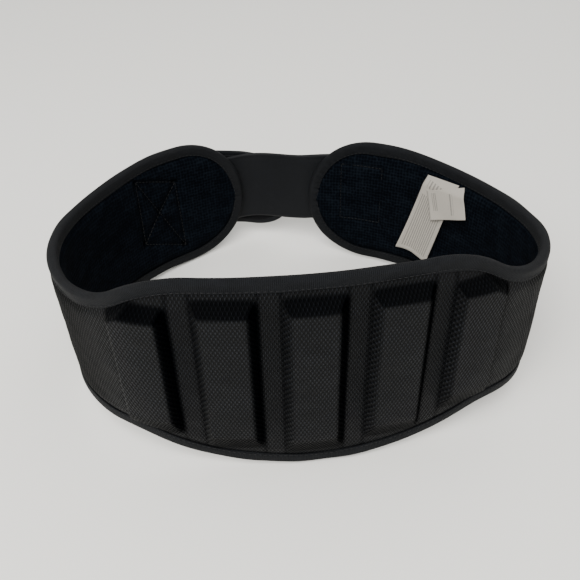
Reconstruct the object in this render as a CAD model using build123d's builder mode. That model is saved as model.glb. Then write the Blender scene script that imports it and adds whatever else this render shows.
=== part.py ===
from build123d import *
from math import acos, asin, atan2, cos, degrees, pi, radians, sin, sqrt, tan
import copy
import os

# Padded contoured waist belt, fastened in a ring and standing on its edge.
# It is drawn square to its own waist line: the back panel's middle is at the origin, +X to the
# belt's right wing, +Y from the back to the front closure and +Z up the wall. The finished pieces
# are then tipped and set down so that the belly of the back and both wings rest on the floor.

# Plan of the wall's middle surface: back arc, turn and wing arc on each side, all tangent.
BACK_R = 387.0
RIGHT = dict(side=1, back_angle=18.1, turn_r=60.0, wing_r=162.0)
LEFT = dict(side=-1, back_angle=12.0, turn_r=99.0, wing_r=162.0)
WING_GAP = 58.0         # between the two wing ends
WING_SPARE = 1.0        # degrees that the untrimmed wall runs on past each wing end
LEAN = 2.8              # degrees that the wall opens outward towards the top
TIP = 6.65              # degrees that the belt is tipped forward to stand on its lower edge

# Height of the wall above and below the waist line.
BACK_TOP = 76.0
BACK_BOTTOM = 76.0
SIDE_TOP = 48.0
SIDE_BOTTOM = 49.5
WING_TOP = 53.5
HUMP_HALF = 70.0        # half the flat top of the back panel
HUMP_END = 153.0        # where the fall from the hump to the side ends
BELLY_R = 256.0
BELLY_FLARE_R = 62.0
BELLY_SHIFT = 4.0       # of the belly's lowest point towards the right wing
WING_RISE_END = 92.0
WING_RISE_START = 148.0
WING_END_R = 50.0
WING_RISE_R = 150.0     # rounding where the wing's upper edge starts and stops rising

# Layers, measured outward from the wall's middle surface.
LINING_IN = -3.4
CORE_IN = -2.2
CORE_OUT = 2.6
SHELL_OUT = 3.4
TAPE = 1.1              # folded binding tape
TAPE_WIDTH = 7.5
TAPE_STITCH = (0.6, 1.2)    # from the tape's inner edge to the two sides of its stitching
THREAD = 0.4            # how far a thread stands proud
THREAD_W = 0.8

# Moulded pads on the back, under the shell.
PAD_PITCH = 50.8
PAD_RISE = 6.4
PAD_FACE = 31.0
PAD_SLOPE = 5.0
PAD_END_SLOPE = 8.0
PAD_ROOT = 3.5          # how far the pad's block starts inside the core before it is trimmed
PAD_FOOT_R = 5.0
PAD_FACE_R = 3.0
PAD_CLEAR = 1.6         # between the pads and the binding tape
COVER_CLEAR = 0.5       # between the shell over the pads and the binding tape
PADS = {
    "pad_centre": (0, 64.0, -64.0),
    "pad_inner_right": (1, 64.0, -58.0),
    "pad_inner_left": (-1, 64.0, -58.0),
    "pad_outer_right": (2, 59.0, -46.0),
    "pad_outer_left": (-2, 59.0, -46.0),
}

# Closure: the strap is sewn on the right wing, the tail on the left wing and laid over the strap.
STRAP_WIDTH = 59.0
STRAP_PIVOT = (-50.0, 3.0)
STRAP_CLIMB = 4.0       # degrees that the strap climbs towards the right wing
STRAP_T = 1.8
STRAP_SEWN_END = 92.0
STRAP_END = -71.0
STRAP_IN = 4.9
LOOP_PATCH = (-68.0, 24.0)
PATCH_T = 1.2
PATCH_GAP = 0.4
PATCH_MARGIN = 2.0      # of webbing seen above and below the loop patch
TAIL_WIDTH = 67.0
TAIL_CLIMB = 11.0       # degrees that the tail climbs towards its sewn end
TAIL_PIVOT = (-32.0, 2.2)
TAIL_TIP = 14.0
TAIL_TIP_R = 30.0
TAIL_HINGE = 52.5       # along the wall from the left wing's end
TAIL_KNEE = 6.5
TAIL_SEWN = 37.0
TAIL_OVERLAP = 0.8      # of the knee and the free tail
TAIL_HOOKS = (9.0, 5.0)     # from the knee to the hook patch, and from the patch to the tip
HOOK_MARGIN = 4.0
SEWN_GAP = 2.0          # between the hinge line and the sewn webbing
HINGE_RISE = 0.3        # of the hinge line above the sewn webbing's outer face
BOX_INSET = 3.0         # from the webbing's sewn end to the stitched box
STRAP_BOX = (30.0, 45.0)
TAIL_BOX = (22.0, 48.0)

# Labels sewn into the right wing's upper seam, inside. Their sketch plane touches the seam, with
# x along the wall towards the wing's end.
LABEL_T = 0.35
LABEL_FROM_END = 115.0   # along the wall from the right wing's end
LABEL_OFF = 3.1
LABEL_SEAM = 37.0
CARE_LABEL = (28.0, 70.0)
CARE_TOP = -1.5
CARE_TURN = 14.0
CARE_TUCK = 7.0         # cut off where the label goes under the seam
SIZE_LABEL = (33.0, 24.0)
SIZE_TOP = -6.5
SIZE_OVER = 0.6         # the small label lies this far over the care label

REACH = 92.0            # half height of the untrimmed wall
DEEP = 400.0            # longer than the belt in any direction


def wing_geometry(half):
    """Angle of the turn, angle of the wing arc and the wing arc's centre in Y."""
    back = radians(half["back_angle"])
    turn_x = (BACK_R - half["turn_r"]) * sin(back)
    turn_y = BACK_R - (BACK_R - half["turn_r"]) * cos(back)
    centre_y = turn_y - sqrt((half["wing_r"] - half["turn_r"]) ** 2 - turn_x**2)
    heading = atan2(turn_x, centre_y - turn_y)
    end = pi - asin(WING_GAP / 2 / half["wing_r"])
    return degrees(heading - back), degrees(end - heading), centre_y, end


def plan(offset, height):
    """Closed plan of the wall's surface at an offset from its middle, at a height."""
    out = offset + height * tan(radians(LEAN))
    with BuildSketch(Plane.XY.offset(height)) as face:
        with BuildLine():
            ends = []
            for half in (RIGHT, LEFT):
                side = half["side"]
                turn, wing, _, _ = wing_geometry(half)
                past = wing + WING_SPARE
                back_arc = JernArc((0, -out), (side, 0), BACK_R + out, side * half["back_angle"])
                turn_arc = JernArc(back_arc @ 1, back_arc % 1, half["turn_r"] + out, side * turn)
                wing_arc = JernArc(turn_arc @ 1, turn_arc % 1, half["wing_r"] + out, side * past)
                ends.append(wing_arc @ 1)
            Line(*ends)
        make_face()
    return face.sketch


def layer(inner, outer):
    """Add the whole untrimmed wall between two offsets to the part being built."""
    loft([plan(outer, -REACH), plan(outer, REACH)], ruled=True)
    loft([plan(inner, -REACH), plan(inner, REACH)], ruled=True, mode=Mode.SUBTRACT)


def wall_plane(foot, out, offset, height):
    """Plane square to the leaning wall above a point of its middle surface."""
    up = out * sin(radians(LEAN)) + Vector(0, 0, 1) * cos(radians(LEAN))
    square = out * cos(radians(LEAN)) - Vector(0, 0, 1) * sin(radians(LEAN))
    return Plane(origin=foot + square * offset + up * height, x_dir=up.cross(square), z_dir=square)


def wing_plane(half, from_end, offset, height=0.0, turn=0.0):
    """Plane on a wing, a distance along the wall from its end: y runs up the wall, z outward."""
    _, _, centre_y, end = wing_geometry(half)
    heading = end - from_end / half["wing_r"]
    out = Vector(half["side"] * sin(heading), -cos(heading), 0)
    centre = Vector(0, centre_y, 0)
    level = wall_plane(centre + out * half["wing_r"], out, offset, height)
    return Plane(level.location * Location((0, 0, 0), (0, 0, turn)))


# The wall is cut to its outline in two parts, in front of and behind this line.
_, _, RIGHT_CENTRE_Y, _ = wing_geometry(RIGHT)
_, _, LEFT_CENTRE_Y, _ = wing_geometry(LEFT)
SPLIT_Y = (RIGHT_CENTRE_Y + LEFT_CENTRE_Y) / 2
FRONT_VIEW = Plane(origin=(0, SPLIT_Y, 0), x_dir=(1, 0, 0), z_dir=(0, -1, 0))


def s_curve(start, end):
    """Two tangent arcs that leave and arrive level."""
    run = abs(end[0] - start[0])
    fall = abs(end[1] - start[1])
    radius = (run**2 + fall**2) / (4 * fall)
    angle = degrees(acos(1 - fall / 2 / radius))
    across = 1 if end[0] > start[0] else -1
    turn = across if end[1] > start[1] else -across
    first = JernArc(start, (across, 0), radius, turn * angle)
    JernArc(first @ 1, first % 1, radius, -turn * angle)


def back_outline(margin):
    """Outline of the back panel and sides, grown by a margin."""
    flare = degrees(acos(1 - (BACK_BOTTOM - SIDE_BOTTOM) / (BELLY_R + BELLY_FLARE_R)))
    with BuildSketch(FRONT_VIEW) as face:
        with BuildLine():
            for side in (1, -1):
                Line((0, BACK_TOP), (side * HUMP_HALF, BACK_TOP))
                s_curve((side * HUMP_HALF, BACK_TOP), (side * HUMP_END, SIDE_TOP))
                belly = JernArc((BELLY_SHIFT, -BACK_BOTTOM), (side, 0), BELLY_R, side * flare)
                foot = JernArc(belly @ 1, belly % 1, BELLY_FLARE_R, -side * flare)
                Polyline(
                    (side * HUMP_END, SIDE_TOP), (side * DEEP, SIDE_TOP),
                    (side * DEEP, -SIDE_BOTTOM), foot @ 1,
                )
        make_face()
        if margin:
            offset(amount=margin, mode=Mode.REPLACE)
    return face.sketch


def wing_outline(margin):
    """Outline of both wings with their round ends, grown by a margin."""
    with BuildSketch(FRONT_VIEW) as face:
        for side in (1, -1):
            end = side * WING_GAP / 2
            with BuildLine():
                FilletPolyline(
                    (side * DEEP, SIDE_TOP), (side * WING_RISE_START, SIDE_TOP),
                    (side * WING_RISE_END, WING_TOP), (end, WING_TOP), (end, -SIDE_BOTTOM),
                    (side * DEEP, -SIDE_BOTTOM),
                    radius=[5, WING_RISE_R, WING_RISE_R, WING_END_R, WING_END_R, 5], close=True,
                )
            make_face()
        if margin:
            offset(amount=margin, mode=Mode.REPLACE)
    return face.sketch


def outline_block(margin):
    """Solid that trims an untrimmed wall to the belt's outline."""
    with BuildPart() as block:
        extrude(back_outline(margin), amount=DEEP)
        extrude(wing_outline(margin), amount=-DEEP)
    return block.part


WALL_TRIM = outline_block(0)
TAPE_TRIM = outline_block(TAPE)
TAPE_INNER_TRIM = outline_block(-TAPE_WIDTH)
PAD_TRIM = outline_block(-TAPE_WIDTH - PAD_CLEAR)
COVER_TRIM = outline_block(-TAPE_WIDTH - COVER_CLEAR)
STITCH_TRIM = outline_block(TAPE_STITCH[1] - TAPE_WIDTH)
STITCH_INNER_TRIM = outline_block(TAPE_STITCH[0] - TAPE_WIDTH)

# --- the sewn body ---------------------------------------------------------------------------
with BuildPart() as foam_core:
    layer(CORE_IN, CORE_OUT)
    add(WALL_TRIM, mode=Mode.INTERSECT)
foam_core.part.label = "foam_core"

with BuildPart() as inner_lining:
    layer(LINING_IN, CORE_IN)
    add(WALL_TRIM, mode=Mode.INTERSECT)
inner_lining.part.label = "inner_lining"


def back_plane(distance, offset, height):
    """Plane facing outward on the back or a turn, a distance along the wall from its middle."""
    half = RIGHT if distance >= 0 else LEFT
    back = radians(half["back_angle"])
    run = abs(distance)
    heading = run / BACK_R
    radius, centre_x, centre_y = BACK_R, 0.0, BACK_R
    if heading > back:
        heading = back + (run - BACK_R * back) / half["turn_r"]
        radius = half["turn_r"]
        centre_x = (BACK_R - radius) * sin(back)
        centre_y = BACK_R - (BACK_R - radius) * cos(back)
    out = Vector(half["side"] * sin(heading), -cos(heading), 0)
    centre = Vector(half["side"] * centre_x, centre_y, 0)
    return wall_plane(centre + out * radius, out, offset, height)


def pad_block(step, top, bottom, skin):
    """Add one pad's sloped block, grown by the thickness of a skin over it."""
    rise = PAD_RISE + skin
    deep = PAD_ROOT / PAD_RISE
    middle = (top + bottom) / 2
    foot_width = PAD_FACE + 2 * (skin + PAD_SLOPE * (1 + deep))
    foot_height = top - bottom + 2 * (skin + PAD_END_SLOPE * deep)
    face_height = top - bottom - 2 * PAD_END_SLOPE + 2 * skin
    base = back_plane(step * PAD_PITCH, CORE_OUT - PAD_ROOT, middle)
    with BuildSketch(base) as foot:
        RectangleRounded(foot_width, foot_height, PAD_FOOT_R)
    with BuildSketch(base.offset(PAD_ROOT + rise)) as face:
        RectangleRounded(PAD_FACE + 2 * skin, face_height, PAD_FACE_R)
    loft([foot.sketch, face.sketch], ruled=True)


def trim_inside(offset):
    """Cut away all that lies inside the wall's surface at an offset."""
    loft([plan(offset, -REACH), plan(offset, REACH)], ruled=True, mode=Mode.SUBTRACT)


pads = {}
for name, (step, top, bottom) in PADS.items():
    with BuildPart() as pad:
        pad_block(step, top, bottom, 0.0)
        trim_inside(CORE_OUT)
        add(PAD_TRIM, mode=Mode.INTERSECT)
    pad.part.label = name
    pads[name] = pad.part

with BuildPart() as pad_covers:
    for step, top, bottom in PADS.values():
        pad_block(step, top, bottom, SHELL_OUT - CORE_OUT)
    trim_inside(CORE_OUT)
    add(COVER_TRIM, mode=Mode.INTERSECT)

with BuildPart() as outer_shell:
    layer(CORE_OUT, SHELL_OUT)
    add(WALL_TRIM, mode=Mode.INTERSECT)
    add(pad_covers.part)
    for pad_part in pads.values():
        add(pad_part, mode=Mode.SUBTRACT)
outer_shell.part.label = "outer_shell"

with BuildPart() as wall:
    layer(LINING_IN, SHELL_OUT)
    add(WALL_TRIM, mode=Mode.INTERSECT)

with BuildPart() as binding:
    layer(LINING_IN - TAPE, SHELL_OUT + TAPE)
    add(TAPE_TRIM, mode=Mode.INTERSECT)
    add(TAPE_INNER_TRIM, mode=Mode.SUBTRACT)
    add(wall.part, mode=Mode.SUBTRACT)

WAIST = (WING_TOP - SIDE_BOTTOM) / 2
with BuildPart() as binding_upper:
    add(binding.part)
    split(bisect_by=Plane.XY.offset(WAIST), keep=Keep.TOP)
binding_upper.part.label = "binding_upper"

with BuildPart() as binding_lower:
    add(binding.part)
    split(bisect_by=Plane.XY.offset(WAIST), keep=Keep.BOTTOM)
binding_lower.part.label = "binding_lower"

with BuildPart() as binding_stitching:
    layer(SHELL_OUT + TAPE, SHELL_OUT + TAPE + THREAD)
    layer(LINING_IN - TAPE - THREAD, LINING_IN - TAPE)
    add(STITCH_TRIM, mode=Mode.INTERSECT)
    add(STITCH_INNER_TRIM, mode=Mode.SUBTRACT)
binding_stitching.part.label = "binding_stitching"

# --- the closure -----------------------------------------------------------------------------


def front_block(left, right, low, high, round_end=0.0):
    """Block behind the split line, between two X and two Z values, with its right end rounded."""
    with BuildPart() as block:
        with BuildSketch(FRONT_VIEW) as face:
            with Locations(((left + right) / 2, (low + high) / 2)):
                Rectangle(right - left, high - low)
            if round_end:
                fillet(face.vertices().group_by(Axis.X)[-1], round_end)
        extrude(amount=-DEEP)
    return block.part


STRAP_OUT = STRAP_IN + STRAP_T


def strap_block(left, right, width):
    """Block like front_block's that follows the climb of the strap."""
    x, z = STRAP_PIVOT
    level = front_block(left, right, z - width / 2, z + width / 2)
    return level.rotate(Axis((x, 0, z), (0, 1, 0)), -STRAP_CLIMB)


with BuildPart() as strap:
    layer(STRAP_IN, STRAP_OUT)
    add(strap_block(STRAP_END, STRAP_SEWN_END, STRAP_WIDTH), mode=Mode.INTERSECT)
strap.part.label = "strap"

with BuildPart() as loop_patch:
    layer(STRAP_OUT, STRAP_OUT + PATCH_T)
    add(strap_block(*LOOP_PATCH, STRAP_WIDTH - 2 * PATCH_MARGIN), mode=Mode.INTERSECT)
loop_patch.part.label = "loop_patch"

HOOK_IN = STRAP_OUT + PATCH_T + PATCH_GAP
TAIL_IN = HOOK_IN + PATCH_T
TAIL_OUT = TAIL_IN + STRAP_T
HINGE_OFFSET = STRAP_OUT + HINGE_RISE + STRAP_T / 2
_, _, _, LEFT_END = wing_geometry(LEFT)


def left_wing_x(from_end, offset):
    """X of a point on the left wing, a distance along the wall from its end."""
    return -(LEFT["wing_r"] + offset) * sin(LEFT_END - from_end / LEFT["wing_r"])


def tail_block(left, right, width, round_end=0.0):
    """Block like front_block's that follows the climb of the tail."""
    x, z = TAIL_PIVOT
    level = front_block(left, right, z - width / 2, z + width / 2, round_end)
    return level.rotate(Axis((x, 0, z), (0, 1, 0)), TAIL_CLIMB)


def tail_plane(from_end, offset):
    """Plane on the tail's middle line: x runs along it towards its sewn end, z outward."""
    x, z = TAIL_PIVOT
    climb = z + (x - left_wing_x(from_end, offset)) * tan(radians(TAIL_CLIMB))
    height = (climb + offset * sin(radians(LEAN))) / cos(radians(LEAN))
    return wing_plane(LEFT, from_end, offset, height, TAIL_CLIMB)


def across(plane):
    """Plane square to another's x direction, with its own x along the other's z."""
    return Plane(origin=plane.origin, x_dir=plane.z_dir, z_dir=plane.x_dir)


TAIL_HINGE_PLANE = tail_plane(TAIL_HINGE, HINGE_OFFSET)
KNEE_X = left_wing_x(TAIL_HINGE - TAIL_KNEE, TAIL_IN)

with BuildPart() as free_tail:
    layer(TAIL_IN, TAIL_OUT)
    free_end = KNEE_X - TAIL_OVERLAP
    add(tail_block(free_end, TAIL_TIP, TAIL_WIDTH, TAIL_TIP_R), mode=Mode.INTERSECT)

with BuildPart() as strap_tail:
    with BuildSketch(across(TAIL_HINGE_PLANE)) as knee_foot:
        Rectangle(STRAP_T, TAIL_WIDTH)
    with BuildSketch(across(tail_plane(TAIL_HINGE - TAIL_KNEE, TAIL_IN + STRAP_T / 2))) as knee_top:
        Rectangle(STRAP_T, TAIL_WIDTH)
    loft([knee_foot.sketch, knee_top.sketch], ruled=True)
    add(free_tail.part)
strap_tail.part.label = "strap_tail"

with BuildPart() as hook_patch:
    layer(HOOK_IN, TAIL_IN)
    hooks = (KNEE_X + TAIL_HOOKS[0], TAIL_TIP - TAIL_HOOKS[1])
    tall = TAIL_WIDTH - 2 * HOOK_MARGIN
    add(tail_block(*hooks, tall, TAIL_TIP_R - HOOK_MARGIN), mode=Mode.INTERSECT)
hook_patch.part.label = "hook_patch"

with BuildPart() as tail_anchor:
    layer(STRAP_IN, STRAP_OUT)
    sewn_left = left_wing_x(TAIL_HINGE + TAIL_SEWN, STRAP_OUT)
    sewn_right = left_wing_x(TAIL_HINGE + SEWN_GAP, STRAP_OUT)
    add(tail_block(sewn_left, sewn_right, TAIL_WIDTH), mode=Mode.INTERSECT)
tail_anchor.part.label = "tail_anchor"


def seam_block(centre, width, height, cross, turn):
    """Block of a sewn box of one thread's width, with a cross in it if asked."""
    with BuildPart() as block:
        with BuildSketch(FRONT_VIEW) as face:
            with Locations(Location((*centre, 0), (0, 0, -turn))):
                Rectangle(width, height)
                Rectangle(width - 2 * THREAD_W, height - 2 * THREAD_W, mode=Mode.SUBTRACT)
                if cross:
                    diagonal = sqrt(width**2 + height**2) - 2 * THREAD_W
                    slope = degrees(atan2(height, width))
                    Rectangle(diagonal, THREAD_W, rotation=slope)
                    Rectangle(diagonal, THREAD_W, rotation=-slope)
        extrude(amount=-DEEP)
    return block.part


def seam_layers():
    """Add thin layers on the sewn webbing's outer face and on the lining's inner face."""
    layer(STRAP_OUT, STRAP_OUT + THREAD)
    layer(LINING_IN - THREAD, LINING_IN)


TAIL_BOX_X = left_wing_x(TAIL_HINGE + TAIL_SEWN / 2 + BOX_INSET, STRAP_OUT)
TAIL_BOX_Z = TAIL_PIVOT[1] + (TAIL_PIVOT[0] - TAIL_BOX_X) * tan(radians(TAIL_CLIMB))
TAIL_BOX_BLOCK = seam_block((TAIL_BOX_X, TAIL_BOX_Z), *TAIL_BOX, True, TAIL_CLIMB)
STRAP_BOX_X = STRAP_SEWN_END - STRAP_BOX[0] / 2 - BOX_INSET
STRAP_BOX_Z = STRAP_PIVOT[1] + (STRAP_BOX_X - STRAP_PIVOT[0]) * tan(radians(STRAP_CLIMB))
STRAP_BOX_BLOCK = seam_block((STRAP_BOX_X, STRAP_BOX_Z), *STRAP_BOX, False, -STRAP_CLIMB)

with BuildPart() as tail_stitching:
    seam_layers()
    add(TAIL_BOX_BLOCK, mode=Mode.INTERSECT)
tail_stitching.part.label = "tail_stitching"

with BuildPart() as strap_stitching:
    seam_layers()
    add(STRAP_BOX_BLOCK, mode=Mode.INTERSECT)
strap_stitching.part.label = "strap_stitching"

# --- the labels ------------------------------------------------------------------------------
SEAM_PLANE = wing_plane(RIGHT, LABEL_FROM_END, LINING_IN - LABEL_OFF, LABEL_SEAM)


def ribbon(plane, size, top, turn, tuck):
    """Label turned about the middle of its top edge and cut off level at the seam."""
    width, length = size
    with BuildSketch(plane) as outline:
        with Locations(Location((top, 0, 0), (0, 0, turn))):
            with Locations((0, (tuck - length) / 2)):
                Rectangle(width, length + tuck)
        with Locations((0, DEEP / 2)):
            Rectangle(DEEP, DEEP, mode=Mode.SUBTRACT)
    extrude(outline.sketch, amount=-LABEL_T)


with BuildPart() as care_label:
    ribbon(SEAM_PLANE, CARE_LABEL, CARE_TOP, CARE_TURN, CARE_TUCK)
care_label.part.label = "care_label"

with BuildPart() as size_label:
    ribbon(SEAM_PLANE.offset(-SIZE_OVER), SIZE_LABEL, SIZE_TOP, 0.0, 0.0)
size_label.part.label = "size_label"

# --- set down on the floor -------------------------------------------------------------------
PIECES = [
    foam_core.part, *pads.values(), outer_shell.part, inner_lining.part, binding_upper.part,
    binding_lower.part, binding_stitching.part, strap.part, loop_patch.part, strap_tail.part,
    hook_patch.part, tail_anchor.part, tail_stitching.part, strap_stitching.part,
    care_label.part, size_label.part,
]
tipped = [piece.rotate(Axis.X, -TIP) for piece in PIECES]
around = Compound(children=[copy.copy(piece) for piece in tipped]).bounding_box()
shift = Location((-around.center().X, -around.center().Y, -around.min.Z))
SET_DOWN = shift * Location((0, 0, 0), (-TIP, 0, 0))

os.makedirs("parts", exist_ok=True)
for piece in PIECES:
    label = piece.label
    placed = piece.moved(SET_DOWN)
    placed.label = label
    export_step(placed, f"parts/{label}.step")

for title, plane in (("tail hinge", TAIL_HINGE_PLANE), ("label hinge", SEAM_PLANE)):
    seat = SET_DOWN * plane.location
    frame = Plane(seat)
    print(title, "at", frame.origin, "x", frame.x_dir, "y", frame.y_dir, "z", frame.z_dir)
print("set down by", SET_DOWN.position)
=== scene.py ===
import math

import bmesh
import bpy
import numpy as np
from mathutils import Matrix, Vector


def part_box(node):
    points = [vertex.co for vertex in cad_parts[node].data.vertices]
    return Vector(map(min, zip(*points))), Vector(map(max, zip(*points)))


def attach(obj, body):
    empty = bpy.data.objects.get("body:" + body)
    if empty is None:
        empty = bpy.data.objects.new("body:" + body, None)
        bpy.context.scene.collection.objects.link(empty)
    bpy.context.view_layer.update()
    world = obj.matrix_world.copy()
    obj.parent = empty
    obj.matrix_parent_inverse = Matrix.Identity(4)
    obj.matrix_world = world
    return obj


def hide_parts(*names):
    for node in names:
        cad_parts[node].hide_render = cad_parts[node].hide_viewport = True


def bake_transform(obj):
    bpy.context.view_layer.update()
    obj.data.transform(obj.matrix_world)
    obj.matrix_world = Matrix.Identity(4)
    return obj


# Padded contoured waist belt, fastened in a ring. The wall is worked out on its own middle
# surface: run is the distance along it from the middle of the back (plus to the right wing),
# height is measured up the wall and out is measured outward from the middle surface. All in metres.

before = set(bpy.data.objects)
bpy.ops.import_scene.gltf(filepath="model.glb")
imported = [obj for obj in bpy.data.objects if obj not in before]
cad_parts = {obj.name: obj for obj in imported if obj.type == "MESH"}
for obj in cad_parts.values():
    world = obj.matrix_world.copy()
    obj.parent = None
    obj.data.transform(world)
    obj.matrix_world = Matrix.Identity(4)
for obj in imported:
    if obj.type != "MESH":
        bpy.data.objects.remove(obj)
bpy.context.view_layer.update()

# Plan of the wall: back arc, turn and wing arc on each side.
BACK_R = 0.387
RIGHT = dict(side=1, back_angle=18.1, turn_r=0.060, wing_r=0.162)
LEFT = dict(side=-1, back_angle=12.0, turn_r=0.099, wing_r=0.162)
WING_GAP = 0.058
LEAN = math.tan(math.radians(2.8))
TIP = math.radians(6.65)

# Heights above and below the waist line.
BACK_TOP = 0.076
BACK_BOTTOM = 0.076
SIDE_TOP = 0.048
SIDE_BOTTOM = 0.0495
WING_TOP = 0.0535
HUMP_HALF = 0.070
HUMP_END = 0.153
BELLY_R = 0.256
BELLY_FLARE_R = 0.062
BELLY_SHIFT = 0.004
WING_RISE_END = 0.092
WING_RISE_START = 0.148
WING_END_R = 0.050

# Inner face of the lining, and the binding tape.
LINING_IN = -0.0034
TAPE = 0.0011
TAPE_WIDTH = 0.0075

# Pads under the shell, and the shell stretched over them: its foot, crease and slope.
# Each pad is given by its step from the middle, its top and its bottom.
PAD_PITCH = 0.0508
PAD_RISE = 0.0064
PAD_CROWN = 0.0006
PAD_FACE = 0.031
PAD_SLOPE = 0.005
PAD_END_SLOPE = 0.008
PAD_FOOT = PAD_FACE / 2 + PAD_SLOPE - 0.0024
# Centre of the painted shade in the creases beside the pads.
PAD_CREASE = PAD_FACE / 2 + PAD_SLOPE - 0.0016
SHELL_SLOPE = PAD_SLOPE - 0.0012
PADS = (
    (0, 0.064, -0.064),
    (1, 0.064, -0.058),
    (-1, 0.064, -0.058),
    (2, 0.059, -0.046),
    (-2, 0.059, -0.046),
)

# Closure.
STRAP_WIDTH = 0.059
STRAP_PIVOT = (-0.050, 0.003)
STRAP_CLIMB = math.radians(4)
STRAP_T = 0.0018
STRAP_SEWN_END = 0.092
STRAP_END = -0.071
STRAP_IN = 0.0049
STRAP_OUT = STRAP_IN + STRAP_T
LOOP_PATCH = (-0.068, 0.024)
PATCH_T = 0.0012
PATCH_GAP = 0.0004
TAIL_WIDTH = 0.067
TAIL_CLIMB = math.radians(11)
TAIL_PIVOT = (-0.032, 0.0022)
TAIL_TIP = 0.014
TAIL_TIP_R = 0.030
TAIL_HINGE = 0.0525
TAIL_KNEE = 0.0065
TAIL_SEWN = 0.037
TAIL_IN = STRAP_OUT + 2 * PATCH_T + PATCH_GAP

# Labels, on a plane that touches the seam above them.
LABEL_T = 0.00035
LABEL_FROM_END = 0.115
LABEL_OFF = 0.0031
LABEL_SEAM = 0.037
CARE_LABEL = (0.028, 0.070)
CARE_TOP = -0.0015
CARE_TURN = math.radians(14)
SIZE_LABEL = (0.033, 0.024)
SIZE_TOP = -0.0065
SIZE_OVER = 0.0006
SIZE_TURN = math.radians(-20)
SIZE_DROP = -0.0022

# How far the labels reach up under the binding, and back towards the lining there.
LABEL_TUCK = 0.0030
LABEL_DIP = 0.0034

# Edges of the wall, pressed thin by the tape, and the fuller wall between them.
EDGE_OUT = 0.0034
EDGE_IN = -0.0012
FULL_OUT = 0.0050
FULL_IN = -0.0034
FULL_AT = 0.014
CORE_MID = (EDGE_OUT + EDGE_IN) / 2
LABEL_OUT = EDGE_IN - 0.0022 - LABEL_OFF

# Camera: place, downward pitch, turn to the right and roll, and lens.
CAMERA_AT = (-0.0487, -0.4244, 0.4162)
CAMERA_PITCH = 0.7242
CAMERA_TURN = 0.110
CAMERA_ROLL = 0.012
CAMERA_LENS = 45.8

# Diamonds of the shell's mesh.
MESH_WIDTH = 0.0024
MESH_HEIGHT = 0.0042

# Grid of the shell and the lining, drawn in from the wall's edge.
WALL_INSET = 0.0016
WALL_PITCH = 0.0014
WALL_ROWS = 96

# Sewn lines through the lining, as (distance from the wing's end, height) corners.
TAIL_X_BOX = ((0.097, 0.040), (0.060, 0.027), (0.058, -0.033), (0.098, -0.016))
STRAP_X_BOX = ((0.062, 0.035), (0.027, 0.035), (0.027, -0.014), (0.062, -0.014))

# Sewing: step and thread radius, and the share of a step that a stitch covers.
STITCH = 0.0034
STITCH_SHARE = 0.74
BOX_STITCH = 0.0033
BOX_SHARE = 0.72
THREAD_R = 0.0003


# --- the wall's shape ------------------------------------------------------------------------
def arcs(half):
    """The back, turn and wing arcs of one side: first run, radius, centre and first heading."""
    back = math.radians(half["back_angle"])
    turn_x = (BACK_R - half["turn_r"]) * math.sin(back)
    turn_y = BACK_R - (BACK_R - half["turn_r"]) * math.cos(back)
    centre_y = turn_y - math.sqrt((half["wing_r"] - half["turn_r"]) ** 2 - turn_x**2)
    heading = math.atan2(turn_x, centre_y - turn_y)
    end = math.pi - math.asin(WING_GAP / 2 / half["wing_r"])
    run_turn = BACK_R * back
    run_wing = run_turn + half["turn_r"] * (heading - back)
    run_end = run_wing + half["wing_r"] * (end - heading)
    pieces = [
        (0.0, BACK_R, 0.0, BACK_R, 0.0),
        (run_turn, half["turn_r"], turn_x, turn_y, back),
        (run_wing, half["wing_r"], 0.0, centre_y, heading),
    ]
    return pieces, run_end, end


ARCS = {half["side"]: arcs(half) for half in (RIGHT, LEFT)}
RUN_END = {side: ARCS[side][1] for side in (1, -1)}
CENTRE_Y = {side: ARCS[side][0][2][3] for side in (1, -1)}
SPLIT_Y = (CENTRE_Y[1] + CENTRE_Y[-1]) / 2
WING_R = RIGHT["wing_r"]


def walk(run):
    """x, y and the outward direction of the wall's middle surface at each run."""
    run = np.asarray(run, float)
    x, y, nx, ny = (np.zeros(run.shape) for _ in range(4))
    for side in (1, -1):
        far = run * side
        for start, radius, cx, cy, heading in ARCS[side][0]:
            here = (far >= start) & ((far > 0) | (side > 0))
            angle = heading + (far[here] - start) / radius
            nx[here] = side * np.sin(angle)
            ny[here] = -np.cos(angle)
            x[here] = side * cx + radius * nx[here]
            y[here] = cy + radius * ny[here]
    return x, y, nx, ny


def smooth(value):
    """Smooth step from 0 to 1."""
    t = np.clip(value, 0, 1)
    return t * t * (3 - 2 * t)


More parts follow.
